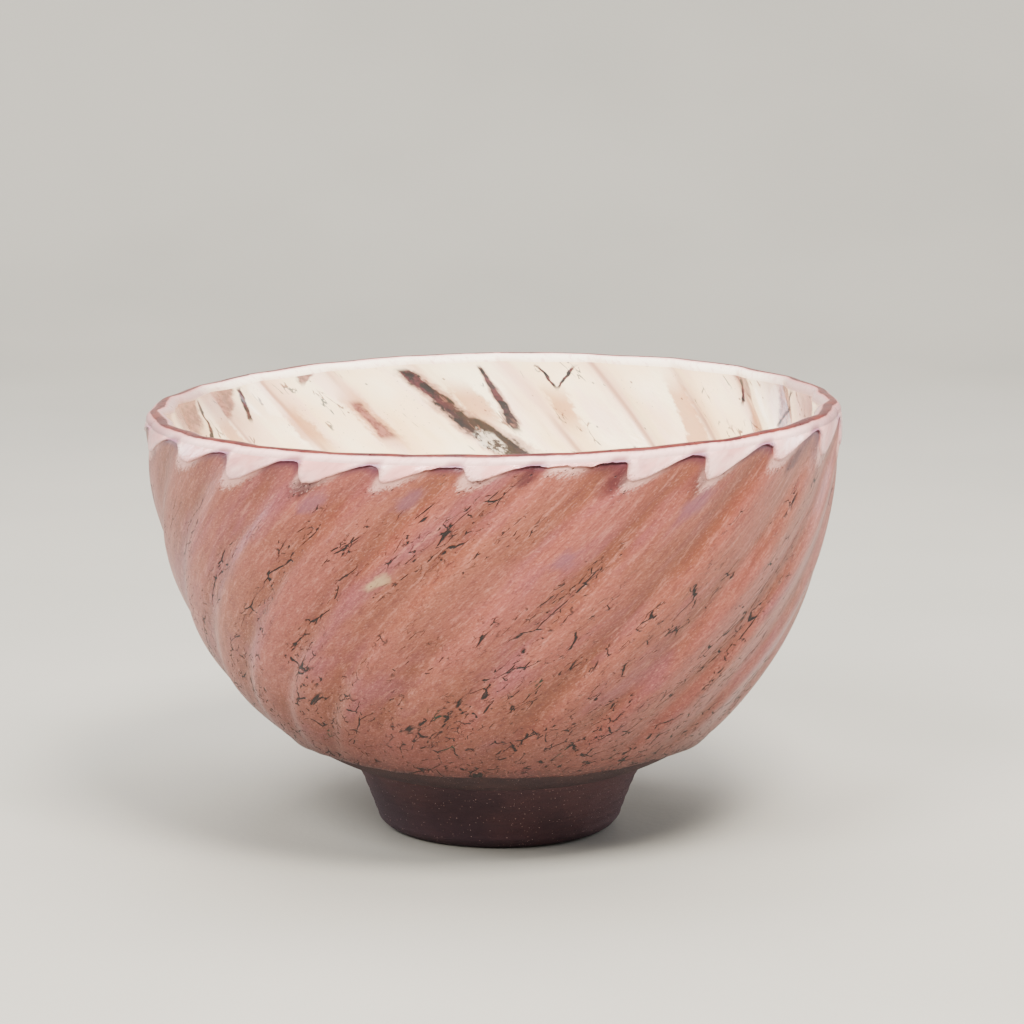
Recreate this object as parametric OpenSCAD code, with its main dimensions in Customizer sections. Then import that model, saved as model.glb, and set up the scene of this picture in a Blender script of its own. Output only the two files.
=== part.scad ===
// Fluted matcha bowl: a thrown clay body on a separate turned foot ring, coated
// outside, inside and over the lip by thin glaze skins.
// Millimetres, +Z up, standing on z = 0 with the lip centred over the origin.

/* [Bowl] */
// Diameter of the clay at the lip, over the flute ridges
lip_d = 119.4; // [100:0.1:144]
// Height of the clay lip above the table
bowl_h = 75; // [64:0.5:90]
// Thickness of the clay at the lip
lip_wall = 2.4; // [1.8:0.1:4]
// Height of the rounded crest of the clay lip
lip_round = 1.2; // [0.8:0.1:2]
// How far the lip dips on its low side
lip_dip = 1.7; // [0:0.1:3]
// Height of the inside floor above the table
well_z = 15.8; // [15:0.1:19]
// Sideways shift of the foot from the centre of the lip
foot_shift = 0.95; // [0:0.05:2]

/* [Flutes] */
// Number of flutes around the bowl
flutes = 24; // [16:1:28]
// Angle that a flute turns through from the lip down to the foot
flute_twist = 58; // [0:1:90]
// Depth of the hollows outside
flute_depth = 0.9; // [0:0.1:1.4]
// Height of the rounded lobes inside
lobe_height = 1.8; // [0:0.1:2.2]
// How far the middle of each flute is pushed sideways, as a share of its width
flute_skew = 0.15; // [0:0.01:0.25]
// How far the flutes crowd towards the front and the back, in degrees
flute_drift = 5; // [0:0.1:6]
// Angle of the first ridge from the front
flute_start = -1; // [-8:0.5:8]

/* [Foot] */
// Diameter of the foot ring where it joins the body
foot_top_d = 51.2; // [46:0.1:62]
// Diameter of the foot ring just above its rounded lower edge
foot_low_d = 43.4; // [38:0.1:46]
// Height of the foot ring
foot_h = 11.8; // [9:0.1:13]
// Diameter of the hollow inside the foot ring
recess_d = 31; // [24:0.1:34]
// Depth of the hollow from the table up to the turned clay
recess_depth = 8; // [6:0.1:8.5]
// Radius of the rounded outer lower edge
foot_round = 3.4; // [2:0.1:3.6]
// Radius of the rounded inner lower edge
foot_inner_round = 1.2; // [0.6:0.1:1.6]
// Height of the small turned nub in the hollow
nub_h = 1.4; // [0.5:0.1:2]
// Diameter of the small turned nub in the hollow
nub_d = 9; // [6:0.5:12]

/* [Glaze] */
// Thickness of the outside glaze
outer_glaze_t = 0.55; // [0.4:0.05:0.8]
// Thickness of the inside glaze
inner_glaze_t = 0.6; // [0.4:0.05:0.9]
// Thickness of the drained glaze on the crest of the lip
lip_glaze_t = 0.3; // [0.2:0.05:0.35]
// Extra thickness of the pale glaze that ran over the lip
run_t = 0.25; // [0.15:0.05:0.4]
// Mean drop of the pale run below the lip
run_drop = 2.4; // [2.4:0.1:6]
// Depth of the scallops along the lower edge of the pale run
run_scallop = 4.4; // [0:0.1:4.6]
// Mean distance of the glaze line from the foot ring, along the wall
glaze_line = 12.2; // [4:0.1:14]
// Wave of the glaze line, to and fro
glaze_wave = 0.9; // [0:0.1:1.5]

/* [Hidden] */
$fn = 96;

steps_per_flute = 4;
columns = flutes * steps_per_flute;
wall_rings = 9;
run_rings = 2;
crest_rings = 5;
inside_rings = 10;
arc_steps = 6;

lip_r = lip_d / 2;
foot_top_r = foot_top_d / 2;
foot_low_r = foot_low_d / 2;
recess_r = recess_d / 2;
crest_z = bowl_h - lip_round;
wall_h = crest_z - foot_h;

// Stations run from the foot up the outside, over the lip and down to the well.
line_station = 1;
run_station = line_station + wall_rings;
lip_out_station = run_station + run_rings;
lip_in_station = lip_out_station + crest_rings - 1;
last_station = lip_in_station + inside_rings;

// ---- section curves, as [radius, height] ----

function bezier(p, t) =
    pow(1 - t, 3) * p[0] + 3 * pow(1 - t, 2) * t * p[1]
    + 3 * (1 - t) * t * t * p[2] + pow(t, 3) * p[3];

function bezier_way(p, t) =
    3 * pow(1 - t, 2) * (p[1] - p[0]) + 6 * (1 - t) * t * (p[2] - p[1])
    + 3 * t * t * (p[3] - p[2]);

outside_curve = [
    [foot_top_r, foot_h],
    [lip_r - 0.1, foot_h + 0.2 * wall_h],
    [lip_r + 0.3, foot_h + 0.94 * wall_h],
    [lip_r, crest_z]
];

inside_curve = [
    [lip_r - lip_wall, crest_z],
    [lip_r - lip_wall - 0.4, well_z + 0.3 * (crest_z - well_z)],
    [0.58 * lip_r, well_z],
    [0, well_z]
];

function unit(v) = v / norm(v);
function left_of(v) = [-v[1], v[0]];
function smooth(x) = let(c = min(1, max(0, x))) c * c * (3 - 2 * c);

// ---- flutes ----

// Angle of a column at the lip: even steps from the front, with a slow uneven drift.
function column_angle(j) =
    let(a = 360 * j / columns)
    270 + flute_start + a - flute_drift * (sin(a) + 0.3 * sin(3 * a));

// Turn of a flute at height z, measured from the lip.
function turn_at(z) = -flute_twist * (crest_z - z) / wall_h;

// Position across a flute: 0 on the ridge, 1 in the middle, which is pushed to one side.
function across(j) =
    let(x = j / steps_per_flute)
    abs(sin(180 * (x - flute_skew * pow(sin(180 * x), 2))));

// Flutes are shallow at the very lip, deepest below it, and die out lower down.
function outside_fade(z) =
    (0.35 + 0.65 * smooth((crest_z - z) / 9)) * smooth((z - foot_h - 2) / (0.32 * wall_h));
function inside_fade(z) =
    (0.65 + 0.35 * smooth((crest_z - z) / 7)) * smooth((z - well_z - 3) / (0.4 * wall_h));

// ---- the clay skin, station by station ----

// Fraction of the outside curve at the wavy glaze line, from its distance up the wall.
foot_pace = 3 * norm(outside_curve[1] - outside_curve[0]);
function line_wave(a) = glaze_line + glaze_wave * (0.6 * sin(3 * a + 20) + 0.4 * sin(7 * a));
function line_fraction(j) = line_wave(column_angle(j)) / foot_pace;

// Fraction of the outside curve at the scalloped run, from its drop below the lip.
lip_pace = 3 * (outside_curve[3] - outside_curve[2])[1];
lip_bend = 3 * (2 * outside_curve[2] - outside_curve[1] - outside_curve[3])[1];
function fraction_below_lip(drop) =
    1 - (sqrt(pow(lip_pace, 2) + 4 * lip_bend * drop) - lip_pace) / (2 * lip_bend);
function run_fraction(j) = fraction_below_lip(run_drop + run_scallop * (0.5 - across(j)));

function outside_fraction(i, j) =
    i <= line_station ? i * line_fraction(j)
    : i <= run_station
        ? line_fraction(j)
            + (run_fraction(j) - line_fraction(j)) * (i - line_station) / wall_rings
    : run_fraction(j) + (1 - run_fraction(j)) * (i - run_station) / run_rings;

// Section point and outward direction of the skin at station i, column j.
function outside_point(t, j) =
    let(p = bezier(outside_curve, t), n = -left_of(unit(bezier_way(outside_curve, t))),
        hollow = flute_depth * pow(across(j), 2) * outside_fade(p[1]))
    [p - n * hollow, n];

function inside_point(t, j) =
    let(p = bezier(inside_curve, t), n = -left_of(unit(bezier_way(inside_curve, t))),
        lobe = lobe_height * across(j) * inside_fade(p[1]))
    [p + n * lobe, n];

function crest_point(i, j) =
    let(s = (i - lip_out_station) / (crest_rings - 1), a = 180 * s,
        start = outside_point(1, j)[0], finish = inside_point(0, j)[0],
        mid = (start + finish) / 2, half = (start[0] - finish[0]) / 2)
    [mid + [half * cos(a), lip_round * sin(a)], unit([cos(a), sin(a)])];

function section(i, j) =
    i < lip_out_station ? outside_point(outside_fraction(i, j), j)
    : i <= lip_in_station ? crest_point(i, j)
    : inside_point((i - lip_in_station) / inside_rings, j);

// Sideways lean of the foot, and the dip of the lip on its low side.
function lean(z) = foot_shift * (1 - smooth((z - foot_h) / 20));
function dip(a, z) =
    lip_dip * (0.18 - pow((1 - cos(a)) / 2, 2)) * pow(max(0, (z - foot_h) / wall_h), 3);

function place(p, a) = [p[0] * cos(a) + lean(p[1]), p[0] * sin(a), p[1] + dip(a, p[1])];

function skin(i, j, coat) =
    let(s = section(i, j), p = s[0] + coat * s[1], a = column_angle(j) + turn_at(s[0][1]))
    place(p, a);

function skin_ring(i, coat) = [for (j = [0:columns - 1]) skin(i, j, coat)];
function flat_ring(r, z) =
    let(turn = turn_at(foot_h))
    [for (j = [0:columns - 1]) place([r, z], column_angle(j) + turn)];

// ---- closed meshes built from rings ----

// Triangles between ring p and ring q; both sides of a shared skin use the same split.
function strip(p, q, outward) = [
    for (j = [0:columns - 1])
        let(k = (j + 1) % columns,
            a = p * columns + j, b = p * columns + k,
            c = q * columns + k, d = q * columns + j)
        each outward ? [[a, c, b], [a, d, c]] : [[a, b, c], [a, c, d]]
];

function fan(p, pole, outward) = [
    for (j = [0:columns - 1])
        let(a = p * columns + j, b = p * columns + (j + 1) % columns)
        outward ? [b, a, pole] : [a, b, pole]
];

// A band of glaze from one station to another, between two offsets from the clay.
module band(first, last, under, over) {
    count = last - first + 1;
    points = concat(
        [for (i = [first:last]) each skin_ring(i, under(i))],
        [for (i = [first:last]) each skin_ring(i, over(i))]
    );
    faces = concat(
        [for (k = [0:count - 2]) each strip(k, k + 1, false)],
        [for (k = [0:count - 2]) each strip(count + k, count + k + 1, true)],
        strip(0, count, true),
        strip(count - 1, 2 * count - 1, false)
    );
    polyhedron(points, faces);
}

// A bowl of glaze from one station down to the middle of the well.
module lining(first, over) {
    last = last_station - 1;
    count = last - first + 1;
    under_pole = 2 * count * columns;
    points = concat(
        [for (i = [first:last]) each skin_ring(i, 0)],
        [for (i = [first:last]) each skin_ring(i, over(i))],
        [place([0, well_z], 0), place([0, well_z + over(last)], 0)]
    );
    faces = concat(
        [for (k = [0:count - 2]) each strip(k, k + 1, false)],
        [for (k = [0:count - 2]) each strip(count + k, count + k + 1, true)],
        strip(0, count, true),
        fan(count - 1, under_pole, false),
        fan(2 * count - 1, under_pole + 1, true)
    );
    polyhedron(points, faces);
}

// ---- thickness of each coat at a station ----

// The coats thin out towards the crest, where the glaze has drained away.
function outside_coat(i) =
    i >= lip_out_station ? lip_glaze_t
    : i == line_station ? 0.8 * outer_glaze_t
    : outer_glaze_t;
function run_coat(i) = outside_coat(i) + (i >= lip_out_station ? 0.3 * run_t : run_t);
function inside_coat(i) = i <= lip_in_station ? lip_glaze_t : inner_glaze_t;

// ---- sub-parts ----

module clay_body() {
    body_rings = concat(
        [flat_ring(nub_d / 2, recess_depth), flat_ring(recess_r, recess_depth),
         flat_ring(recess_r, foot_h)],
        [for (i = [0:last_station - 1]) skin_ring(i, 0)]
    );
    count = len(body_rings);
    floor_pole = count * columns;
    points = concat(
        [for (ring = body_rings) each ring],
        [place([0, recess_depth - nub_h], 0), place([0, well_z], 0)]
    );
    faces = concat(
        fan(0, floor_pole, false),
        [for (k = [0:count - 2]) each strip(k, k + 1, true)],
        fan(count - 1, floor_pole + 1, true)
    );
    color("#6f4a47") polyhedron(points, faces);
}

function arc(centre, r, from, to) = [
    for (k = [0:arc_steps])
        let(a = from + (to - from) * k / arc_steps)
        centre + r * [cos(a), sin(a)]
];

// Turned ring: rounded lower edges, tapering out to the seat under the body.
module foot_ring() {
    outline = concat(
        [[recess_r, foot_h]],
        arc([recess_r + foot_inner_round, foot_inner_round], foot_inner_round, 180, 270),
        arc([foot_low_r - foot_round, foot_round], foot_round, 270, 350),
        [[foot_top_r - 1.6, foot_h - 2.8], [foot_top_r - 0.7, foot_h - 1.2],
         [foot_top_r, foot_h]]
    );
    color("#46303a") translate([foot_shift, 0, 0]) rotate_extrude() polygon(outline);
}

module outer_glaze() {
    color("#be7d6e")
        band(line_station, lip_out_station, function(i) 0, function(i) outside_coat(i));
}

module inner_glaze() {
    color("#f3e3cf") lining(lip_in_station, function(i) inside_coat(i));
}

// Pale glaze that ran over the lip and stopped in scallops between the flutes.
module rim_glaze_run() {
    color("#eec4bc")
        band(run_station, lip_out_station,
            function(i) outside_coat(i), function(i) run_coat(i));
}

module lip_line() {
    color("#7a3d3a")
        band(lip_out_station, lip_in_station, function(i) 0, function(i) lip_glaze_t);
}

clay_body();
foot_ring();
outer_glaze();
inner_glaze();
rim_glaze_run();
lip_line();
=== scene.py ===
import math
from functools import lru_cache

import bmesh
import bpy
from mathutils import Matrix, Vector, noise


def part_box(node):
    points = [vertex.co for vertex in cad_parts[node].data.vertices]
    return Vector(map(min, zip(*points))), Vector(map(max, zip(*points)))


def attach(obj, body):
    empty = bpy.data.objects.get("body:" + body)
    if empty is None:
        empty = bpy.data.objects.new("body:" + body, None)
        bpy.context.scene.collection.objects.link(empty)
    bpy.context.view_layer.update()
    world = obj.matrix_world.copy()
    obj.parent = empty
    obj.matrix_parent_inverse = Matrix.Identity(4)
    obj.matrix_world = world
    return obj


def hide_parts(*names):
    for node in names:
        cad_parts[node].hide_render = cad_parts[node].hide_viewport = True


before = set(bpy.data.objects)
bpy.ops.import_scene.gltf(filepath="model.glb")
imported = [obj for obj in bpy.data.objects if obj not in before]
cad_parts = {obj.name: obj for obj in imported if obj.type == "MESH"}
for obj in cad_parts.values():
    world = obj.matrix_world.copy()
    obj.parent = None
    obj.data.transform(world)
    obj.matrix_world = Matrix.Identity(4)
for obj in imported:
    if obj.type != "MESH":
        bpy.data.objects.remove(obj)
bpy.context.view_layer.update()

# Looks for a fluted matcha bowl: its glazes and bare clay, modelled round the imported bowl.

MM = 0.001
TURN = 2 * math.pi


# ---- sizes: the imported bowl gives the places, the rest are the bowl's own details ----

FLUTES = 24
FLUTE_TWIST = math.radians(58)
FLUTE_DEPTH = 0.9 * MM
FLUTE_SKEW = 0.15
FLUTE_DRIFT = math.radians(5)
FLUTE_START = math.radians(-1)
LOBE_HEIGHT = 1.8 * MM
CREASE_SOFTNESS = 0.06

LIP_COAT = 0.3 * MM
OUTER_COAT = 0.55 * MM
INNER_COAT = 0.6 * MM
RUN_COAT = 0.28 * MM
LIP_WALL = 2.4 * MM
LIP_ROUND = 1.2 * MM
LIP_DIP = 1.7 * MM
DIP_LIFT = 0.18

foot_low, foot_high = (Vector(corner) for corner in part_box("foot_ring"))
lip_low, lip_high = (Vector(corner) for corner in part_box("lip_line"))
FOOT_H = foot_high.z
FOOT_SHIFT = (foot_high.x + foot_low.x) / 2
FOOT_TOP_R = (foot_high.x - foot_low.x) / 2
FOOT_LOW_R = 21.7 * MM
RECESS_R = 15.5 * MM
RECESS_Z = 8 * MM
NUB_R = 4.5 * MM
NUB_H = RECESS_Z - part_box("clay_body")[0][2]
WELL_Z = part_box("inner_glaze")[0][2]
LIP_R = (lip_high.y - lip_low.y) / 2 - LIP_COAT
CREST_Z = lip_high.z - LIP_COAT - DIP_LIFT * LIP_DIP - LIP_ROUND
WALL_H = CREST_Z - FOOT_H

GLAZE_LINE = 12.2 * MM
GLAZE_WAVE = 0.9 * MM
RUN_DROP = 2.4 * MM
RUN_SCALLOP = 4.4 * MM
SHORT_RUN_AT = math.radians(284)
SHORT_RUN_WIDTH = math.radians(13)
RUN_BED = 0.1 * MM
RUN_SEAM = 0.146 * MM
LINE_ROLL = 0.25 * MM
WELL_POOL = 0.9 * MM
UNEVEN = 0.14 * MM

CAMERA_AT = (3.2 * MM, -700 * MM, 182.3 * MM)
CAMERA_DOWN = math.radians(10.28)
CAMERA_LENS = 143.4


# ---- the bowl's section ----

OUTSIDE = [
    Vector((FOOT_TOP_R, FOOT_H)),
    Vector((LIP_R - 0.1 * MM, FOOT_H + 0.2 * WALL_H)),
    Vector((LIP_R + 0.3 * MM, FOOT_H + 0.94 * WALL_H)),
    Vector((LIP_R, CREST_Z)),
]
INSIDE = [
    Vector((LIP_R - LIP_WALL, CREST_Z)),
    Vector((LIP_R - LIP_WALL - 0.4 * MM, WELL_Z + 0.3 * (CREST_Z - WELL_Z))),
    Vector((0.58 * LIP_R, WELL_Z)),
    Vector((0, WELL_Z)),
]
NUB = 0.2  # share of the base's run that the nub takes up
BASE = [
    Vector((NUB_R, RECESS_Z)),
    Vector((RECESS_R, RECESS_Z)),
    Vector((RECESS_R, FOOT_H)),
    Vector((FOOT_TOP_R, FOOT_H)),
]


def bezier(curve, t):
    s = 1 - t
    return s ** 3 * curve[0] + 3 * s * s * t * curve[1] + 3 * s * t * t * curve[2] + t ** 3 * curve[3]


def outward(curve, t):
    """Unit direction off the surface, for a curve that runs up the outside or down the inside."""
    s = 1 - t
    way = s * s * (curve[1] - curve[0]) + 2 * s * t * (curve[2] - curve[1]) + t * t * (curve[3] - curve[2])
    return Vector((way.y, -way.x)).normalized()


def smooth(x):
    x = min(1, max(0, x))
    return x * x * (3 - 2 * x)


def blend(a, b, share):
    return a + (b - a) * share


# ---- flutes ----

@lru_cache(maxsize=None)
def lip_angle(angle):
    """Where an even angle round the bowl lies at the lip, because the flutes crowd front and back."""
    drift = FLUTE_DRIFT * (math.sin(angle) + 0.3 * math.sin(3 * angle))
    return angle + 0.75 * TURN + FLUTE_START - drift


def turn_at(z):
    return -FLUTE_TWIST * (CREST_Z - z) / WALL_H


@lru_cache(maxsize=None)
def across(angle):
    """0 on a ridge, 1 in the middle of a flute."""
    x = FLUTES * angle / TURN
    return abs(math.sin(math.pi * (x - FLUTE_SKEW * math.sin(math.pi * x) ** 2)))


def hollow(angle, z):
    """Depth of the outside flutes: slight at the lip, fading out above the foot."""
    fade = (0.35 + 0.65 * smooth((CREST_Z - z) / (9 * MM))) * smooth((z - FOOT_H - 2 * MM) / (0.32 * WALL_H))
    hand = 1 + 0.18 * math.sin(5 * angle + 1) + 0.1 * math.sin(9 * angle)
    return FLUTE_DEPTH * hand * across(angle) ** 2 * fade


def lobe(angle, z):
    """Height of the inside lobes, with a crease that the glaze has softened between them."""
    fade = (0.65 + 0.35 * smooth((CREST_Z - z) / (7 * MM))) * smooth((z - WELL_Z - 3 * MM) / (0.4 * WALL_H))
    rise = (math.hypot(across(angle), CREASE_SOFTNESS) - CREASE_SOFTNESS) / (1 - 0.9 * CREASE_SOFTNESS)
    return LOBE_HEIGHT * rise * fade


# ---- the skin of the clay, from the nub under the foot to the middle of the well ----

def base_point(u):
    """Under the bowl, u runs from -1 in the middle of the nub to 0 at the foot's outer edge."""
    run = u + 1
    if run < NUB:
        dome = 0.5 + 0.5 * math.cos(math.pi * run / NUB)
        return Vector((NUB_R * run / NUB, RECESS_Z - NUB_H * dome)), Vector((0, -1))
    leg = (run - NUB) / (1 - NUB) * (len(BASE) - 1)
    k = min(int(leg), len(BASE) - 2)
    return blend(BASE[k], BASE[k + 1], leg - k), Vector((0, -1))


def outside_point(t, angle):
    point, way = bezier(OUTSIDE, t), outward(OUTSIDE, t)
    return point - way * hollow(angle, point.y), way


def inside_point(t, angle):
    point, way = bezier(INSIDE, t), outward(INSIDE, t)
    return point + way * lobe(angle, point.y), way


@lru_cache(maxsize=None)
def crest_ends(angle):
    return outside_point(1, angle)[0], inside_point(0, angle)[0]


def crest_point(share, angle):
    start, finish = crest_ends(angle)
    a = math.pi * share
    middle, half = (start + finish) / 2, (start.x - finish.x) / 2
    point = middle + Vector((half * math.cos(a), LIP_ROUND * math.sin(a)))
    return point, Vector((math.cos(a), math.sin(a)))


def section(angle, u):
    """u runs -1 to 0 under the foot, 0 to 1 up the outside, 1 to 2 over the lip, 2 to 3 down the inside."""
    if u < 0:
        return base_point(u)
    if u < 1:
        return outside_point(u, angle)
    if u <= 2:
        return crest_point(u - 1, angle)
    return inside_point(u - 2, angle)


def place(point, angle):
    """A section point at an angle, with the foot's lean and the dip of the lip."""
    up = max(0, (point.y - FOOT_H) / WALL_H)
    dip = LIP_DIP * (DIP_LIFT - ((1 - math.cos(angle)) / 2) ** 2) * up ** 3
    lean = FOOT_SHIFT * (1 - smooth((point.y - FOOT_H) / (20 * MM)))
    return Vector((point.x * math.cos(angle) + lean, point.x * math.sin(angle), point.y + dip))


def skin(angle, u, lift):
    """Place of the surface at a height of lift off the clay, and the same spot before the twist."""
    point, way = section(angle, u)
    turned = lip_angle(angle) + turn_at(point.y)
    unwound = Vector((point.x * math.cos(lip_angle(angle)), point.x * math.sin(lip_angle(angle)), point.y))
    uneven = 0.0
    if 0 < u < 3:
        steady = smooth(u / 0.1) * smooth((3 - u) / 0.3)
        uneven = UNEVEN * steady * noise.noise(place(point, turned) * 70)
    return place(point + way * (lift + uneven), turned), unwound


# ---- glaze edges ----

@lru_cache(maxsize=None)
def line_u(angle):
    """The wavy line where the outside glaze stops above the foot."""
    a = lip_angle(angle)
    ripple = 0.35 * MM * noise.noise(Vector((math.cos(a), math.sin(a), 0.3)) * 9)
    wave = GLAZE_WAVE * (0.6 * math.sin(3 * a + math.radians(20)) + 0.4 * math.sin(7 * a))
    return (GLAZE_LINE + wave + ripple) / (3 * (OUTSIDE[1] - OUTSIDE[0]).length)


LIP_PACE = 3 * (OUTSIDE[3] - OUTSIDE[2]).y
LIP_BEND = 3 * (2 * OUTSIDE[2] - OUTSIDE[1] - OUTSIDE[3]).y


def below_lip_u(drop):
    return 1 - (math.sqrt(LIP_PACE ** 2 + 4 * LIP_BEND * drop) - LIP_PACE) / (2 * LIP_BEND)


@lru_cache(maxsize=None)
def run_drop(angle):
    """How far the pale run hangs: long on the ridges, short over the hollows, frayed along its edge."""
    rim = Vector((math.cos(angle), math.sin(angle), 0))
    step = 0.13 * TURN / FLUTES
    soft = (across((angle - step) % TURN) + 2 * across(angle) + across((angle + step) % TURN)) / 4
    short = math.exp(-((lip_angle(angle) % TURN - SHORT_RUN_AT) / SHORT_RUN_WIDTH) ** 2)
    hand = 0.95 - 0.6 * short + 1.0 * noise.noise(rim * 3.6 + Vector((0, 0, 4)))
    frays = 0.25 * MM * noise.noise(rim * 22) + 0.16 * MM * noise.noise(rim * 60)
    top = RUN_DROP - 0.5 * RUN_SCALLOP
    return max(0.15 * MM, top + hand * RUN_SCALLOP * (1 - smooth((soft - 0.12) / 0.88)) + frays)


# ---- meshes: a wire spun in working coordinates, then moved to the bowl's skin ----

def spun_wire(rows, steps):
    """Spins a closed or open wire of (side, share) pairs; radius 1 is the clay side, 2 the outer side."""
    bm = bmesh.new()
    verts = [bm.verts.new((1 + side, 0, share)) for side, share in rows]
    for a, b in zip(verts, verts[1:]):
        bm.edges.new((a, b))
    bmesh.ops.spin(
        bm, geom=bm.verts[:] + bm.edges[:], cent=(0, 0, 0), axis=(0, 0, 1), dvec=(0, 0, 0),
        angle=TURN, steps=steps, use_merge=True, use_duplicate=False,
    )
    return bm


def finished_piece(name, bm):
    """Merges doubled points, turns the faces outwards and makes the object."""
    bmesh.ops.remove_doubles(bm, verts=bm.verts[:], dist=0.002 * MM)
    bmesh.ops.dissolve_degenerate(bm, dist=0.001 * MM, edges=bm.edges[:])
    bmesh.ops.recalc_face_normals(bm, faces=bm.faces[:])
    mesh = bpy.data.meshes.new(name)
    bm.to_mesh(mesh)
    bm.free()
    mesh.shade_smooth()
    mesh.set_sharp_from_angle(angle=math.radians(50))
    piece = bpy.data.objects.new(name, mesh)
    bpy.context.scene.collection.objects.link(piece)
    return piece


def along_map(side, share, at_edge):
    """How far round a layer's wire a point lies, with little room for the hidden clay side."""
    if side:
        return 0.99 - 0.93 * share
    if at_edge and share < 0.5:
        return 1.0
    return 0.05 * share


def bare_map(side, share, at_edge):
    """The same for bare clay, with most of the room for what the glaze leaves bare."""
    return min(share, 0.3) * 2.6 + max(0, share - 0.3) * 0.3


def map_out(bm, steps, folds, along):
    """Lays the piece out flat as strips one above the other, each a share of the way round."""
    layer = bm.loops.layers.uv.new("OFBake")
    columns = steps // folds
    for face in bm.faces:
        middle = face.calc_center_median()
        at_edge = 1.3 < math.hypot(middle.x, middle.y) < 1.7
        column = math.atan2(middle.y, middle.x) % TURN / TURN * steps
        fold = int(column / columns)
        for loop in face.loops:
            co = loop.vert.co
            ahead = math.atan2(co.y, co.x) / TURN * steps - column
            ahead = (ahead + steps / 2) % steps - steps / 2
            across_strip = (column + ahead) / columns - fold
            up = along(round(math.hypot(co.x, co.y) - 1), co.z, at_edge)
            loop[layer].uv = (0.003 + 0.994 * across_strip, (fold + 0.005 + 0.99 * up) / folds)


def coat(name, rows, steps, from_u, to_u, under, over, folds=2, along=along_map):
    """A closed layer on the bowl between two edges, with its pattern places kept as attributes."""
    bm = spun_wire(rows, steps)
    map_out(bm, steps, folds, along)
    unwound = bm.verts.layers.float_vector.new("unwound")
    marks = bm.verts.layers.float_vector.new("marks")
    way_over = bm.verts.layers.float.new("way_over")
    for v in bm.verts:
        angle = TURN / steps * (round(math.atan2(v.co.y, v.co.x) / TURN * steps) % steps)
        side = round(math.hypot(v.co.x, v.co.y) - 1)
        share = v.co.z
        u = blend(from_u(angle), to_u(angle), share)
        lift = over(angle, u, share) if side else under(angle, u, share)
        v.co, before = skin(angle, u, lift)
        v[unwound] = before / MM
        v[way_over] = share
        drop = (CREST_Z - before.z) / MM
        v[marks] = Vector((across(angle), drop, drop - run_drop(angle) / MM))
    return finished_piece(name, bm)


def even(count, start=0, end=1):
    return [start + (end - start) * k / count for k in range(count + 1)]


def loop_rows(under_count, over_shares):
    """A closed wire: up the clay side, then back down the outer side."""
    up = [(0, share) for share in even(under_count)]
    down = [(1, share) for share in reversed(over_shares)]
    return up + down + up[:1]


def edge_bulge(distance, width):
    """0 at a glaze edge, rising to 1 in a round shoulder."""
    x = min(1, max(0, distance / width))
    return math.sqrt(x * (2 - x))


def copper_thickness(angle, u, share):
    near_line = (u - line_u(angle)) * 3 * (OUTSIDE[1] - OUTSIDE[0]).length
    roll = LINE_ROLL * edge_bulge(near_line, 0.9 * MM) * (1 - smooth((near_line - 0.9 * MM) / (2.5 * MM)))
    thick = blend(OUTER_COAT, LIP_COAT, smooth((share - 0.93) / 0.07))
    return thick * edge_bulge(near_line, 0.7 * MM) + roll


def copper_glaze():
    fine_ends = [0.0015, 0.004, 0.008, 0.013, 0.019, 0.026]
    shares = [0] + fine_ends + even(110, 0.035, 1)
    return coat(
        "copper_glaze", loop_rows(24, shares), FLUTES * 16, line_u, lambda angle: 1,
        lambda angle, u, share: 0, copper_thickness,
    )


def run_thickness(angle, u, share):
    drop_share = 1 - share
    base = copper_thickness(angle, u, blend(0.93, 1, share) if share > 0 else 0.93)
    bead = edge_bulge(share, 0.1) * RUN_COAT * (0.45 + 0.55 * drop_share)
    return base + bead + 0.02 * MM


def pale_rim_run():
    shares = [0, 0.01, 0.03, 0.06, 0.1] + even(14, 0.16, 1)
    return coat(
        "pale_rim_run", loop_rows(6, shares), FLUTES * 40,
        lambda angle: below_lip_u(run_drop(angle)), lambda angle: 1,
        lambda angle, u, share: RUN_BED, run_thickness, folds=8,
    )


def lip_thickness(angle, u, share):
    return LIP_COAT + RUN_SEAM * (1 - smooth(share / 0.35))


def iron_lip():
    return coat(
        "iron_lip", loop_rows(8, even(16)), FLUTES * 24, lambda angle: 1, lambda angle: 2,
        lambda angle, u, share: 0, lip_thickness, folds=8,
    )


def cream_thickness(angle, u, share):
    body = blend(LIP_COAT, INNER_COAT, smooth(share / 0.05))
    pooled = WELL_POOL * smooth((share - 0.8) / 0.2)
    return body + pooled


def cream_glaze():
    return coat(
        "cream_glaze", loop_rows(24, even(120)), FLUTES * 16, lambda angle: 2, lambda angle: 3,
        lambda angle, u, share: 0, cream_thickness,
    )


def fired_clay():
    """The whole clay body; only the belt above the foot and the floor of the recess stay bare."""
    rows = [(0, share) for share in even(60, 0, 0.25) + even(70, 0.255, 0.5) + even(60, 0.51, 1)]
    return coat(
        "fired_clay", rows, FLUTES * 8, lambda angle: -1, lambda angle: 3,
        lambda angle, u, share: 0, lambda angle, u, share: 0, along=bare_map,
    )


def arc(centre, radius, start, end, count):
    return [
        centre + radius * Vector((math.cos(a), math.sin(a)))
        for a in even(count, math.radians(start), math.radians(end))
    ]


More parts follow.
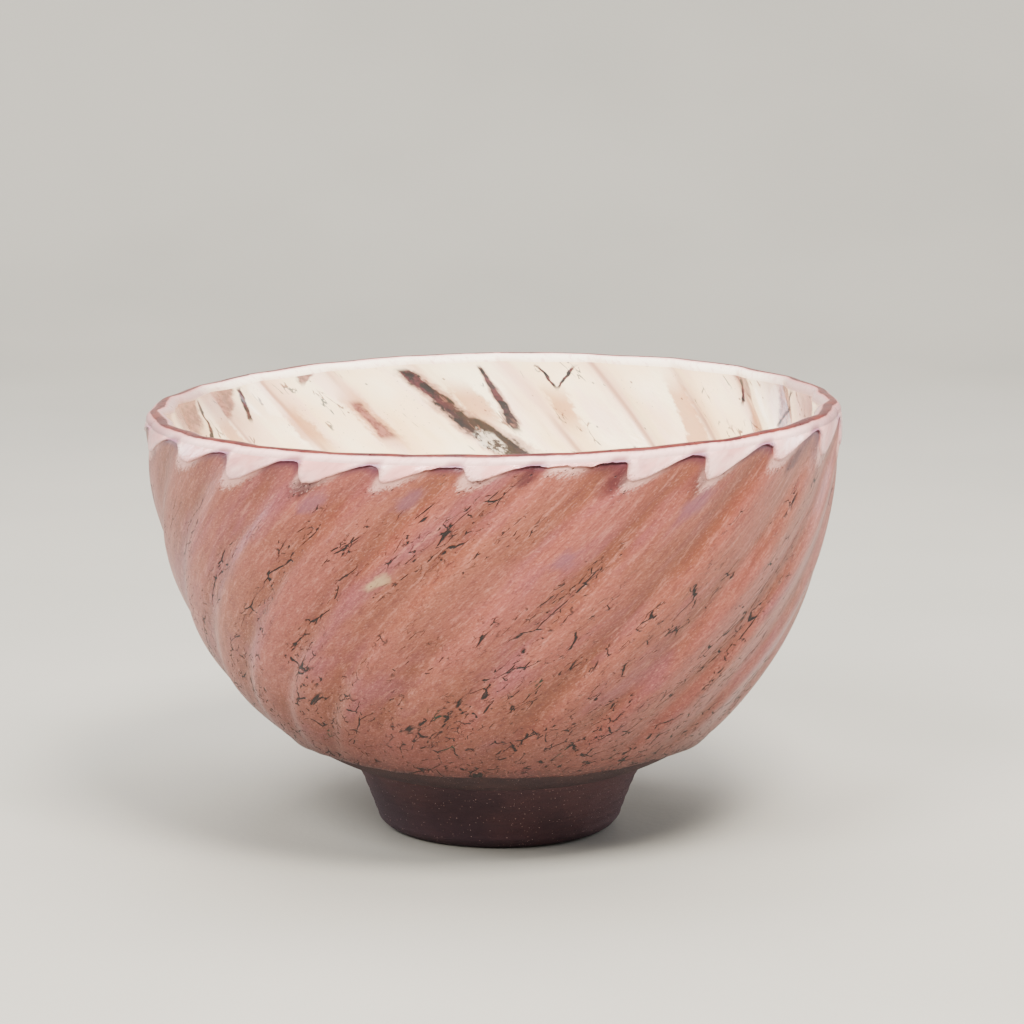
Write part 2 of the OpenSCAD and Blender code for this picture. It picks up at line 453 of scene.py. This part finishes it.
def turned_foot():
    """The foot ring: rounded lower edges and faint turning marks on a slightly uneven wall."""
    outer_round, inner_round = 3.4 * MM, 1.2 * MM
    outline = [Vector((RECESS_R, FOOT_H))]
    outline += [Vector((RECESS_R, z)) for z in even(16, FOOT_H - 0.4 * MM, 1.5 * MM)]
    outline += arc(Vector((RECESS_R + inner_round, inner_round)), inner_round, 180, 270, 8)
    outline += arc(Vector((FOOT_LOW_R - outer_round, outer_round)), outer_round, 270, 350, 14)
    side = [outline[-1], Vector((FOOT_TOP_R - 1.6 * MM, FOOT_H - 2.8 * MM)),
            Vector((FOOT_TOP_R - 1.2 * MM, FOOT_H - 2 * MM)), Vector((FOOT_TOP_R, FOOT_H))]
    outline += [bezier(side, t) for t in even(34)[1:]]
    bm = bmesh.new()
    verts = [bm.verts.new((p.x, 0, p.y)) for p in outline + outline[:1]]
    for a, b in zip(verts, verts[1:]):
        bm.edges.new((a, b))
    bmesh.ops.spin(
        bm, geom=bm.verts[:] + bm.edges[:], cent=(0, 0, 0), axis=(0, 0, 1), dvec=(0, 0, 0),
        angle=TURN, steps=360, use_merge=True, use_duplicate=False,
    )
    bmesh.ops.translate(bm, verts=bm.verts[:], vec=(FOOT_SHIFT, 0, 0))
    bmesh.ops.remove_doubles(bm, verts=bm.verts[:], dist=0.002 * MM)
    bm.normal_update()
    bmesh.ops.recalc_face_normals(bm, faces=bm.faces[:])
    moves = {}
    for v in bm.verts:
        free = smooth((v.co.z - 0.3 * MM) / (1.5 * MM)) * smooth((FOOT_H - v.co.z) / (1.0 * MM))
        marks = 0.05 * MM * math.sin(v.co.z / (0.33 * MM) + 2 * noise.noise(v.co * 60))
        moves[v] = -v.normal * free * (0.05 * MM + marks + 0.12 * MM * abs(noise.noise(v.co * 90)))
    for v, move in moves.items():
        v.co += move
    return finished_piece("turned_foot", bm)


# ---- materials ----

class Wire:
    """One socket of a material; sums on it add Math nodes."""

    def __init__(self, finish, socket):
        self.finish = finish
        self.socket = socket

    def sum(self, operation, *others, clamp=False):
        node = self.finish.add("ShaderNodeMath", {"operation": operation, "use_clamp": clamp},
                               dict(enumerate((self, *others))))
        return Wire(self.finish, node.outputs[0])

    def __add__(self, other):
        return self.sum("ADD", other)

    __radd__ = __add__

    def __sub__(self, other):
        return self.sum("SUBTRACT", other)

    def __rsub__(self, other):
        return Wire.sum(self, "MULTIPLY", -1).sum("ADD", other)

    def __mul__(self, other):
        return self.sum("MULTIPLY", other)

    __rmul__ = __mul__

    def __truediv__(self, other):
        return self.sum("DIVIDE", other)

    def highest(self, other):
        return self.sum("MAXIMUM", other)

    def size(self):
        return self.sum("ABSOLUTE")

    def turned(self, x):
        """The angle in degrees of the point that lies at this far along Y and x along X."""
        return self.sum("ARCTAN2", x) * math.degrees(1)

    def rise(self, start, end):
        """0 below start, 1 above end, smooth between; the other way round when start is above end."""
        low, high = min(start, end), max(start, end)
        ends = (0, 1) if start < end else (1, 0)
        node = self.finish.add(
            "ShaderNodeMapRange", {"interpolation_type": "SMOOTHSTEP"},
            {"Value": self, "From Min": low, "From Max": high, "To Min": ends[0], "To Max": ends[1]},
        )
        return Wire(self.finish, node.outputs[0])


class Finish:
    """A material being made: its node tree, its shader and the patterns that glaze and clay need."""

    def __init__(self, name, roughness, coat=0.0, coat_roughness=0.1):
        self.material = bpy.data.materials.new(name)
        self.material.use_nodes = True
        self.tree = self.material.node_tree
        self.tree.nodes.clear()
        output = self.tree.nodes.new("ShaderNodeOutputMaterial")
        self.shader = self.tree.nodes.new("ShaderNodeBsdfPrincipled")
        self.tree.links.new(self.shader.outputs[0], output.inputs[0])
        self.shader.inputs["Roughness"].default_value = roughness
        self.shader.inputs["Coat Weight"].default_value = coat
        self.shader.inputs["Coat Roughness"].default_value = coat_roughness

    def add(self, kind, settings=None, inputs=None):
        """Adds a node: its settings first, then the values or links of its sockets."""
        node = self.tree.nodes.new(kind)
        for key, value in (settings or {}).items():
            setattr(node, key, value)
        for key, value in (inputs or {}).items():
            if isinstance(value, Wire):
                self.tree.links.new(value.socket, node.inputs[key])
            elif value is not None:
                node.inputs[key].default_value = value
        return node

    def out(self, kind, settings, inputs, output=0):
        return Wire(self, self.add(kind, settings, inputs).outputs[output])

    def attribute(self, name, output="Vector"):
        return self.out("ShaderNodeAttribute", {"attribute_name": name}, {}, output)

    def parts(self, vector):
        node = self.add("ShaderNodeSeparateXYZ", {}, {0: vector})
        return [Wire(self, socket) for socket in node.outputs]

    def scaled(self, vector, amounts):
        return self.out("ShaderNodeVectorMath", {"operation": "MULTIPLY"}, {0: vector, 1: amounts})

    def moved(self, vector, other):
        return self.out("ShaderNodeVectorMath", {"operation": "ADD"}, {0: vector, 1: other})

    def away(self, vector, spot):
        """Distance from a spot."""
        return self.out("ShaderNodeVectorMath", {"operation": "DISTANCE"}, {0: vector, 1: spot}, "Value")

    def cloud(self, vector, scale, detail=3.0, roughness=0.55, warp=0.0):
        return self.out("ShaderNodeTexNoise", {}, {
            "Vector": vector, "Scale": scale, "Detail": detail, "Roughness": roughness, "Distortion": warp,
        }, "Fac")

    def cells(self, vector, scale, feature, output="Distance", randomness=1.0):
        return self.out("ShaderNodeTexVoronoi", {"feature": feature}, {
            "Vector": vector, "Scale": scale, "Randomness": randomness,
        }, output)

    def colour(self, share, first, second):
        """A colour between two others."""
        return self.out("ShaderNodeMix", {"data_type": "RGBA"}, {0: share, 6: first, 7: second}, 2)

    def wobble(self, vector, scale, amount):
        """The vector pushed about by a colour noise, so that lines wander."""
        push = self.out("ShaderNodeTexNoise", {}, {"Vector": vector, "Scale": scale, "Detail": 2.0}, "Color")
        centred = self.out("ShaderNodeVectorMath", {"operation": "SUBTRACT"}, {0: push, 1: (0.5, 0.5, 0.5)})
        return self.moved(vector, self.scaled(centred, (amount,) * 3))

    def finish(self, colour, roughness=None, relief=None, depth=0.1 * MM, strength=1.0):
        self.tree.links.new(colour.socket, self.shader.inputs["Base Color"])
        if roughness is not None:
            self.tree.links.new(roughness.socket, self.shader.inputs["Roughness"])
        if relief is not None:
            bump = self.add("ShaderNodeBump", {}, {"Height": relief, "Distance": depth, "Strength": strength})
            self.tree.links.new(bump.outputs[0], self.shader.inputs["Normal"])
        return self.material


def shade(red, green, blue):
    """A colour written as screen values from 0 to 255."""
    def linear(c):
        c /= 255
        return c / 12.92 if c <= 0.04045 else ((c + 0.055) / 1.055) ** 2.4
    return (linear(red), linear(green), linear(blue), 1.0)


ALONG_FLUTES = (1.0, 1.0, 0.34)

# patches on the outside: flute, counted round the lip, millimetres below the lip, radius
MAROON = [
    (16.25, 4, 3.5),
    (18, 1, 2.5),
    (18.5, 2, 2.5),
    (19.5, 3, 3.5),
    (20.75, 3, 2),
    (22, 4, 3),
    (2, 3, 2.5),
    (5, 2, 2),
    (8.5, 3, 2.5),
    (12.5, 2, 2),
]
MAUVE = [
    (16.5, 7, 3),
    (17.5, 6, 3),
    (19.75, 16, 2.5),
    (20.75, 8, 3.5),
    (3.5, 7, 3),
    (10, 10, 3.5),
]
BEIGE = [
    (18, 20, 2),
    (21.5, 27, 1.5),
    (6.25, 23, 2),
]

# marks down the inside: flute at the top and at the bottom, millimetres below the lip at both, half
# width at both; the back of the bowl is flute 6 and flutes past the front count backwards from 0
STREAK = (7.25, 7, 0.5, 15, 1.5, 2.5)
STREAK_LIMB = (7, 6.75, 10, 18, 1.5, 4)
DARK = [
    STREAK,
    STREAK_LIMB,
    (6.25, 6.5, 0.5, 13, 0.5, 1),
    (5.5, 5.5, 0.5, 5, 0.4, 0.3),
    (5, 5.5, 0.5, 5, 0.5, 0.3),
    (1.25, 2, 0, 7, 0.6, 0.3),
    (2.5, 2.75, 0, 5, 0.6, 0.3),
    (9.75, 10, 0, 7, 0.9, 0.4),
    (10.75, 11, 0, 9, 0.6, 0.3),
    (-8.5, -8.25, 0.5, 10, 0.7, 0.3),
    (-5, -4.75, 0.5, 14, 1, 2),
]
# the folds are painted shade: dark brown marks in the creases of the lobes near the lip
FOLD_SHADOWS = [
    (11, 11.25, -1, 9, 3.5, 1.5),
    (10, 10.25, -1, 6, 2.5, 1),
    (8.5, 8.75, -1, 2, 3, 0.5),
    (8.25, 8.25, 6, 14, 1, 1.5),
    (2.5, 2.5, -1, 4, 2.5, 1),
    (1.5, 2, -1, 9, 2.5, 1),
    (-10.25, -10.25, -1, 7, 2, 1),
    (-2.75, -2.75, -1, 8, 2, 1),
]
TAN = [
    (3.75, 4, 0.5, 19, 1.5, 2.5),
    (10.5, 10.5, 3, 16, 2.5, 3),
    (9.25, 9.25, 4, 16, 2, 2.5),
    (6.75, 6.75, 2, 14, 2.5, 2.5),
    (5.5, 5.75, 3, 14, 2.5, 2),
    (2.5, 2.75, 2, 17, 1.5, 2),
    (8.25, 8.25, 3, 17, 2, 2.5),
    (-4, -3.75, 4, 18, 2, 2),
    (-7.5, -7.25, 4, 14, 2, 2),
]


def spot_at(flute, below, reach):
    """The place on the unwound wall, in millimetres, of a flute at a depth below the lip."""
    a = TURN * flute / FLUTES
    return (reach * math.cos(a), reach * math.sin(a), CREST_Z / MM - below)


def highest(wires):
    top = wires[0]
    for wire in wires[1:]:
        top = top.highest(wire)
    return top


def patches(f, spots, marks):
    """Soft-edged patches that wander a little round their middles."""
    loose = f.wobble(spots, 0.5, 3.0)
    made = []
    for flute, below, radius in marks:
        middle = spot_at(flute, below, LIP_R / MM - max(0, below - 6) * 0.12)
        made.append(f.away(loose, middle).rise(radius, radius * 0.35))
    return highest(made)


def marks_down(f, angle_at, drop, ragged, marks, ends):
    """Ragged marks that run down the inside of the wall, fading over a length at both ends."""
    made = []
    for flute, low_flute, top, bottom, half, low_half in marks:
        stray = (low_flute - flute) / (bottom - top)
        side = (angle_at - (drop - top) * (stray * 360 / FLUTES) - flute * 360 / FLUTES).size() * 0.95
        width = (drop - top) * ((low_half - half) / (bottom - top)) + half
        band = (side / width + ragged).rise(1.25, 0.65)
        made.append(band * drop.rise(top - 0.3, top + ends) * drop.rise(bottom + 0.5, bottom - ends))
    return highest(made)


def crackle(f, spots, scale, width, wander=1.0):
    """Thin wandering lines, as wide as width in millimetres, on a net of cells."""
    loose = f.wobble(spots, scale * 2.2, wander)
    net = f.cells(loose, scale, "DISTANCE_TO_EDGE") / scale
    swell = f.cloud(spots, scale * 1.3, 1) * 2.1 - 0.15
    return (net / swell).rise(width, width * 0.4)


def copper_finish():
    f = Finish("copper_glaze", 0.4, coat=0.14, coat_roughness=0.18)
    f.shader.inputs["Metallic"].default_value = 0.22
    spots = f.attribute("unwound")
    flow = f.scaled(spots, ALONG_FLUTES)
    strands = f.scaled(spots, (1, 1, 0.2))
    across_flute, _, below_run = f.parts(f.attribute("marks"))
    _, _, height = f.parts(spots)

    # body colour: salmon, darker tan in the hollows (partly the glaze's own tan, partly painted shade in the
    # hollows), mauve in drifts, redder strokes along the flutes
    body = f.colour(f.cloud(spots, 0.055, 3).rise(0.35, 0.65), shade(152, 80, 68), shade(144, 80, 60))
    # darker tan in the flute hollows: partly the glaze's own tan, partly painted shade in the hollows
    tan = across_flute.rise(0.4, 1.0) * f.cloud(flow, 0.12, 2).rise(0.34, 0.6)
    body = f.colour(tan * 0.8, body, shade(120, 62, 38))
    mauve = f.cloud(f.moved(flow, (17, 3, 5)), 0.1, 3, 0.6).rise(0.5, 0.68)
    body = f.colour(mauve * 0.55, body, shade(140, 72, 86))
    strokes = f.cloud(f.wobble(strands, 0.5, 0.8), 1.0, 4, 0.7)
    body = f.colour(strokes.rise(0.5, 0.68) * 0.55, body, shade(106, 48, 44))
    body = f.colour(strokes.rise(0.47, 0.32) * 0.5, body, shade(190, 122, 106))
    low = height.rise(38, 15)
    body = f.colour(low * 0.7, body, shade(88, 34, 28))
    grain = f.cloud(spots, 2.6, 3, 0.7)
    body = f.colour(grain.rise(0.52, 0.68) * 0.5, body, shade(90, 40, 44))
    body = f.colour(grain.rise(0.46, 0.32) * 0.35, body, shade(198, 134, 122))
    body = f.colour(patches(f, spots, MAUVE) * 0.5, body, shade(128, 78, 100))

    # crackle and pinholes, in rows along the flutes and thicker towards the foot
    rows = f.cloud(f.scaled(f.moved(spots, (4, 9, 1)), (1, 1, 0.22)), 0.15, 2)
    crowd = rows + low * 0.07 + height.rise(58, 30) * 0.05 - height.rise(60, 70) * 0.1
    short = f.scaled(spots, (1, 1, 0.6))
    gaps = f.cloud(short, 0.55, 2)
    wide = crackle(f, short, 0.26, 0.16) * crowd.rise(0.53, 0.57) * gaps.rise(0.48, 0.53)
    fine = crackle(f, f.moved(short, (31, 7, 2)), 0.5, 0.1, 0.7) * crowd.rise(0.48, 0.54)
    fine = fine * f.cloud(short, 0.7, 1).rise(0.55, 0.6)
    ticks = crackle(f, f.moved(short, (11, 27, 2)), 0.9, 0.06, 0.4) * crowd.rise(0.42, 0.54)
    ticks = ticks * f.cloud(short, 1.0, 1).rise(0.58, 0.64)
    holes = f.cells(spots, 0.8, "F1").rise(0.19, 0.12) * f.cloud(spots, 0.8, 1).rise(0.57, 0.62)
    holes = holes * (crowd + f.cloud(spots, 0.2, 1) * 0.3).rise(0.6, 0.72)
    cracks = highest([wide, fine * 0.95, ticks * 0.6, holes * 0.85])
    ink = f.colour(f.cloud(spots, 0.18, 1).rise(0.68, 0.72), shade(26, 14, 14), shade(26, 52, 38))
    beige = patches(f, spots, BEIGE)
    body = f.colour(beige * 0.85, body, shade(184, 152, 114))
    edge = f.attribute("way_over", "Fac").rise(0.05, 0.008)
    body = f.colour(edge * grain.rise(0.3, 0.55) * 0.8, body, shade(66, 28, 26))
    body = f.colour(cracks, body, ink)

    # froth under the pale run; dark purple in the hollows under its arches, partly the run's thin edge and
    # partly painted shade in the hollows
    bubbles = f.cloud(spots, 2.2, 3, 0.75)
    ridge = across_flute.rise(0.8, 0.3)
    froth = (below_run + bubbles * 5).rise(4.6, 3.0) * ridge
    body = f.colour(froth * 0.7, body, shade(232, 178, 166))
    # dark purple just under the run's arches: the run's thin edge over the hollows, with painted shade in the
    # hollows
    thin = below_run.rise(1.8, 0.2) * across_flute.rise(0.5, 0.9)
    body = f.colour(thin * 0.8, body, shade(92, 46, 62))
    smudge = highest([
        patches(f, spots, MAROON),
        f.cloud(f.scaled(spots, (1, 1, 0.5)), 0.13, 2).rise(0.56, 0.68) * below_run.rise(5, 1) * 0.7,
    ])
    smudge = smudge * bubbles.rise(0.26, 0.46)
    body = f.colour(smudge * 0.85, body, shade(72, 26, 32))
    blisters = f.cells(spots, 1.15, "F1").rise(0.24, 0.12) * f.cloud(spots, 0.7, 1).rise(0.46, 0.54)
    blisters = blisters * (below_run.rise(4.2, 1.6) * ridge * below_run.rise(-0.4, 0.3)).highest(smudge)
    body = f.colour(blisters * 0.9, body, shade(34, 16, 20))

    marks = cracks.highest(blisters)
    rough = 0.36 + strokes * 0.12 + marks * 0.25
    relief = f.cloud(spots, 0.7, 3) * 0.7 + grain * 0.25 + froth * bubbles * 0.8 - marks * 1.1
    return f.finish(body, rough, relief, 0.14 * MM)


def pale_run_finish():
    f = Finish("pale_rim_glaze", 0.16, coat=0.3, coat_roughness=0.06)
    spots = f.attribute("unwound")
    across_flute, _, below_run = f.parts(f.attribute("marks"))
    body = f.colour(f.cloud(spots, 0.18, 3).rise(0.35, 0.65), shade(255, 208, 200), shade(244, 172, 166))
    blush = f.cloud(f.moved(spots, (8, 2, 5)), 0.3, 3).rise(0.5, 0.68)
    body = f.colour(blush * 0.5, body, shade(206, 140, 142))
    bubbles = f.cloud(spots, 2.4, 3, 0.75)
    frill = (below_run + bubbles * 2.4).rise(0.2, 1.3)
    body = f.colour(frill * 0.65, body, shade(176, 106, 96))
    thin = across_flute.rise(0.6, 1.0) * below_run.rise(-1.2, -0.1)
    body = f.colour(thin * 0.9, body, shade(122, 76, 104))
    specks = f.cells(spots, 1.1, "F1").rise(0.2, 0.1) * below_run.rise(-1.5, -0.3)
    body = f.colour(specks * f.cloud(spots, 0.9, 1).rise(0.5, 0.56), body, shade(66, 30, 32))
    # painted shade and reflection: mauve towards the left and right ends, where the wall turns edge-on
    _, y, _ = f.parts(spots)
    body = f.colour(y.size().rise(30, 12) * 0.5, body, shade(170, 122, 130))
    rough = 0.12 + f.cloud(spots, 1.2, 2) * 0.1 + frill * 0.2
    return f.finish(body, rough, f.cloud(spots, 0.8, 3) + frill * bubbles, 0.12 * MM)


def iron_lip_finish():
    """Pale like the run on its outer side and cream inside, with the thin iron line on top."""
    f = Finish("iron_lip_glaze", 0.3)
    f.shader.inputs["Specular IOR Level"].default_value = 0.22
    spots = f.attribute("unwound")
    over = f.attribute("way_over", "Fac")
    mottle = f.cloud(spots, 1.0, 3)
    _, y, _ = f.parts(spots)
    body = f.colour(over.rise(0.55, 0.75), shade(240, 194, 188), shade(254, 240, 222))
    body = f.colour(mottle.rise(0.5, 0.7) * 0.4, body, shade(208, 150, 148))
    across_flute, _, _ = f.parts(f.attribute("marks"))
    arch = across_flute.rise(0.82, 1.0) * over.rise(0.3, 0.0)
    body = f.colour(arch * 0.8, body, shade(150, 92, 100))
    # painted shade and reflection: mauve-brown on the crest towards the left and right ends
    body = f.colour(y.size().rise(36, 18) * 0.8, body, shade(140, 96, 100))
    stray = (f.cloud(spots, 0.12, 2) - 0.5) * 0.12 + (mottle - 0.5) * 0.06
    line = (over - 0.44 + stray).size()
    body = f.colour(line.rise(0.26, 0.12) * 0.7, body, shade(178, 108, 102))
    iron = f.colour(f.cloud(spots, 0.3, 2).rise(0.4, 0.6), shade(70, 22, 26), shade(94, 36, 32))
    body = f.colour(line.rise(0.17, 0.12), body, iron)
    return f.finish(body, 0.22 + mottle * 0.15, mottle, 0.05 * MM)


def cream_finish():
    f = Finish("cream_glaze", 0.14, coat=0.4, coat_roughness=0.05)
    spots = f.attribute("unwound")
    flow = f.scaled(spots, ALONG_FLUTES)
    across_flute, drop, _ = f.parts(f.attribute("marks"))
    x, y, _ = f.parts(f.wobble(spots, 0.3, 2.2))
    angle_at = y.turned(x)
    mottle = f.cloud(spots, 0.8, 4, 0.7)
    ragged = (mottle - 0.5) * 1.5
    body = f.colour(f.cloud(spots, 0.06, 3).rise(0.35, 0.65), shade(255, 246, 216), shade(255, 230, 192))
    blush = f.cloud(f.moved(flow, (3, 8, 2)), 0.16, 3).rise(0.48, 0.66)
    body = f.colour(blush * 0.55, body, shade(244, 208, 200))
    gold = f.cloud(f.moved(flow, (9, 1, 7)), 0.2, 3).rise(0.52, 0.7) * drop.rise(5, 14)
    body = f.colour(gold * 0.5, body, shade(240, 214, 158))
    beige = f.cloud(f.scaled(spots, (1, 1, 0.2)), 0.14, 3, 0.6).rise(0.5, 0.72) * across_flute.rise(0.95, 0.3)
    body = f.colour(beige * 0.55, body, shade(214, 172, 138))
    # painted shade in the valleys between the lobes, strongest near the lip and fading lower down
    valley_shade = across_flute.rise(0.5, 0.05) * drop.rise(26, 6)
    body = f.colour(valley_shade * 0.4, body, shade(214, 166, 148))
    # painted shade in the creases between the lobes, standing for the occlusion there
    crease = across_flute.rise(0.22, 0.0) * f.cloud(flow, 0.2, 2).rise(0.36, 0.6)
    body = f.colour(crease * 0.7, body, shade(160, 112, 100))

    tan = marks_down(f, angle_at, drop, ragged, TAN, 5)
    body = f.colour(tan * 0.8, body, shade(190, 136, 98))
    # painted shade and reflection: mauve-brown near the lip towards the left and right ends, stronger in the
    # creases
    side_shade_and_reflection = y.size().rise(38, 20) * drop.rise(12, 2)
    lobed = across_flute.rise(0.95, 0.55)
    body = f.colour(side_shade_and_reflection * (lobed * 0.4 + 0.45), body, shade(146, 98, 100))
    # painted shade in the creases of the folds near the lip
    folds = marks_down(f, angle_at, drop, ragged * 0.5, FOLD_SHADOWS, 1.0)
    fold_shade_colour = f.colour(mottle.rise(0.4, 0.62), shade(96, 54, 56), shade(142, 94, 88))
    body = f.colour(folds * 0.9, body, fold_shade_colour)
    dark = marks_down(f, angle_at, drop, ragged, DARK, 0.8)
    halo = marks_down(f, angle_at, drop, ragged - 0.5, DARK[:3], 2.0)
    body = f.colour(halo * 0.6, body, shade(160, 100, 88))
    deep = f.colour(drop.rise(5, 12), shade(66, 20, 28), shade(30, 8, 14))
    depths = f.colour(mottle.rise(0.42, 0.58), shade(10, 3, 6), deep)
    body = f.colour(dark, body, depths)

    # a grey blister patch at the foot of the dark mark
    _, flute, _, below, _, _ = STREAK
    patch = f.away(f.wobble(spots, 0.6, 2.0), spot_at(flute, below, LIP_R / MM - 5)).rise(2.9, 2.0)
    blister = f.colour(mottle.rise(0.4, 0.52), shade(40, 30, 34), shade(206, 200, 190))
    body = f.colour(patch, body, blister)

    specks = f.cells(spots, 0.45, "F1").rise(0.12, 0.07) * f.cloud(spots, 0.3, 1).rise(0.5, 0.56)
    pepper = f.cells(spots, 1.2, "F1").rise(0.16, 0.09) * f.cloud(spots, 0.16, 2).rise(0.52, 0.62) * 0.7
    hairs = crackle(f, flow, 0.5, 0.1) * f.cloud(spots, 0.2, 2).rise(0.58, 0.64)
    ink = f.colour(f.cloud(spots, 0.25, 1).rise(0.5, 0.56), shade(110, 72, 60), shade(38, 62, 72))
    flecks = highest([specks, hairs, pepper])
    body = f.colour(flecks * 0.85, body, ink)
    relief = f.cloud(spots, 0.5, 3) + dark * mottle * 1.5 + patch * mottle
    return f.finish(body, 0.14 + dark * 0.5 + f.cloud(spots, 1, 2) * 0.06, relief, 0.12 * MM)


def clay_finish(name, dark, warm, place_scale):
    """Bare fired clay: dark, dry, with grog, mica sparkle and fine turning lines."""
    f = Finish(name, 0.8)
    spots = f.scaled(f.out("ShaderNodeTexCoord", {}, {}, "Object"), (1 / MM,) * 3)
    turned = f.scaled(spots, (0.15, 0.15, 1.6))
    body = f.colour(f.cloud(spots, place_scale, 3).rise(0.38, 0.62), dark, warm)
    rings = f.cloud(turned, 1.1, 3)
    body = f.colour(rings.rise(0.45, 0.7) * 0.35, body, shade(52, 34, 40))
    grog = f.cells(spots, 1.6, "F1").rise(0.24, 0.1) * f.cloud(spots, 1.1, 1).rise(0.5, 0.62)
    body = f.colour(grog * 0.55, body, shade(150, 112, 104))
    sparkle = f.cells(f.moved(spots, (5, 5, 5)), 1.3, "F1").rise(0.09, 0.05)
    body = f.colour(sparkle, body, shade(214, 176, 168))
    pores = f.cloud(spots, 3.5, 3, 0.7)
    body = f.colour(pores.rise(0.5, 0.3) * 0.4, body, shade(34, 22, 26))
    return f.finish(body, 0.82 - sparkle * 0.5, pores * 0.6 + rings * 0.5 + grog * 0.3, 0.16 * MM)


# ---- studio ----

def lamp(name, spot, target, width, height, power, tint=(1, 1, 1)):
    data = bpy.data.lights.new(name, "AREA")
    data.shape = "RECTANGLE"
    data.size = width
    data.size_y = height
    data.energy = power
    data.color = tint
    lamp_object = bpy.data.objects.new(name, data)
    lamp_object.location = spot
    lamp_object.rotation_euler = (Vector(target) - Vector(spot)).to_track_quat("-Z", "Y").to_euler()
    bpy.context.scene.collection.objects.link(lamp_object)


def studio():
    centre = (0, 0, CREST_Z / 2)
    lamp("key", (-0.45, -0.7, 0.8), centre, 0.4, 0.4, 20, (1.0, 0.96, 0.91))
    lamp("top", (0.05, 0.1, 0.85), centre, 0.8, 0.6, 15, (1.0, 0.98, 0.95))
    lamp("inside", (0.15, -0.35, 0.62), (0, 0.05, CREST_Z), 0.2, 0.2, 12, (1.0, 0.93, 0.84))
    lamp("right_edge", (0.75, 0.3, 0.3), centre, 0.2, 0.7, 5, (0.93, 0.93, 1.0))
    lamp("left_edge", (-0.75, 0.35, 0.3), centre, 0.2, 0.7, 5, (0.95, 0.93, 1.0))
    world = bpy.data.worlds.new("studio")
    world.use_nodes = True
    background = world.node_tree.nodes["Background"]
    background.inputs["Color"].default_value = (0.86, 0.87, 0.88, 1)
    background.inputs["Strength"].default_value = 0.38
    bpy.context.scene.world = world


def floor_finish():
    f = Finish("pale_floor", 0.6)
    spots = f.out("ShaderNodeTexCoord", {}, {}, "Object")
    body = f.colour(f.cloud(spots, 6, 3).rise(0.3, 0.7), shade(166, 163, 155), shade(158, 156, 148))
    return f.finish(body, None, f.cloud(spots, 700, 2), 0.05 * MM)


def floor():
    """A pale sheet that sweeps up into a backdrop."""
    bend_y, bend_r, half = 0.55, 0.35, 2.2
    sweep = [Vector((0, -1.5, 0)), Vector((0, bend_y, 0))]
    sweep += [
        Vector((0, bend_y + bend_r * math.sin(a), bend_r * (1 - math.cos(a))))
        for a in even(16, 0, math.pi / 2)[1:]
    ]
    sweep.append(Vector((0, bend_y + bend_r, 2)))
    bm = bmesh.new()
    verts = [bm.verts.new(p - Vector((half, 0, 0))) for p in sweep]
    for a, b in zip(verts, verts[1:]):
        bm.edges.new((a, b))
    made = bmesh.ops.extrude_edge_only(bm, edges=bm.edges[:])
    moved = [g for g in made["geom"] if isinstance(g, bmesh.types.BMVert)]
    bmesh.ops.translate(bm, verts=moved, vec=(2 * half, 0, 0))
    bmesh.ops.recalc_face_normals(bm, faces=bm.faces[:])
    mesh = bpy.data.meshes.new("floor")
    bm.to_mesh(mesh)
    bm.free()
    mesh.shade_smooth()
    sheet = bpy.data.objects.new("floor", mesh)
    bpy.context.scene.collection.objects.link(sheet)
    sheet.data.materials.append(floor_finish())


def camera():
    data = bpy.data.cameras.new("camera")
    data.sensor_width = 36
    data.lens = CAMERA_LENS
    view = bpy.data.objects.new("camera", data)
    view.location = CAMERA_AT
    view.rotation_euler = (math.radians(90) - CAMERA_DOWN, 0, 0)
    bpy.context.scene.collection.objects.link(view)
    bpy.context.scene.camera = view


def dress(piece, node, material):
    """Puts a finished piece in the place of its CAD node."""
    piece.data.materials.append(material)
    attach(piece, "root")
    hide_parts(node)


camera()
studio()
floor()
dress(copper_glaze(), "outer_glaze", copper_finish())
dress(pale_rim_run(), "rim_glaze_run", pale_run_finish())
dress(iron_lip(), "lip_line", iron_lip_finish())
dress(cream_glaze(), "inner_glaze", cream_finish())
dress(fired_clay(), "clay_body",
      clay_finish("bare_clay", shade(44, 24, 28), shade(56, 32, 33), 0.12))
dress(turned_foot(), "foot_ring",
      clay_finish("foot_clay", shade(52, 30, 38), shade(70, 42, 46), 0.07))
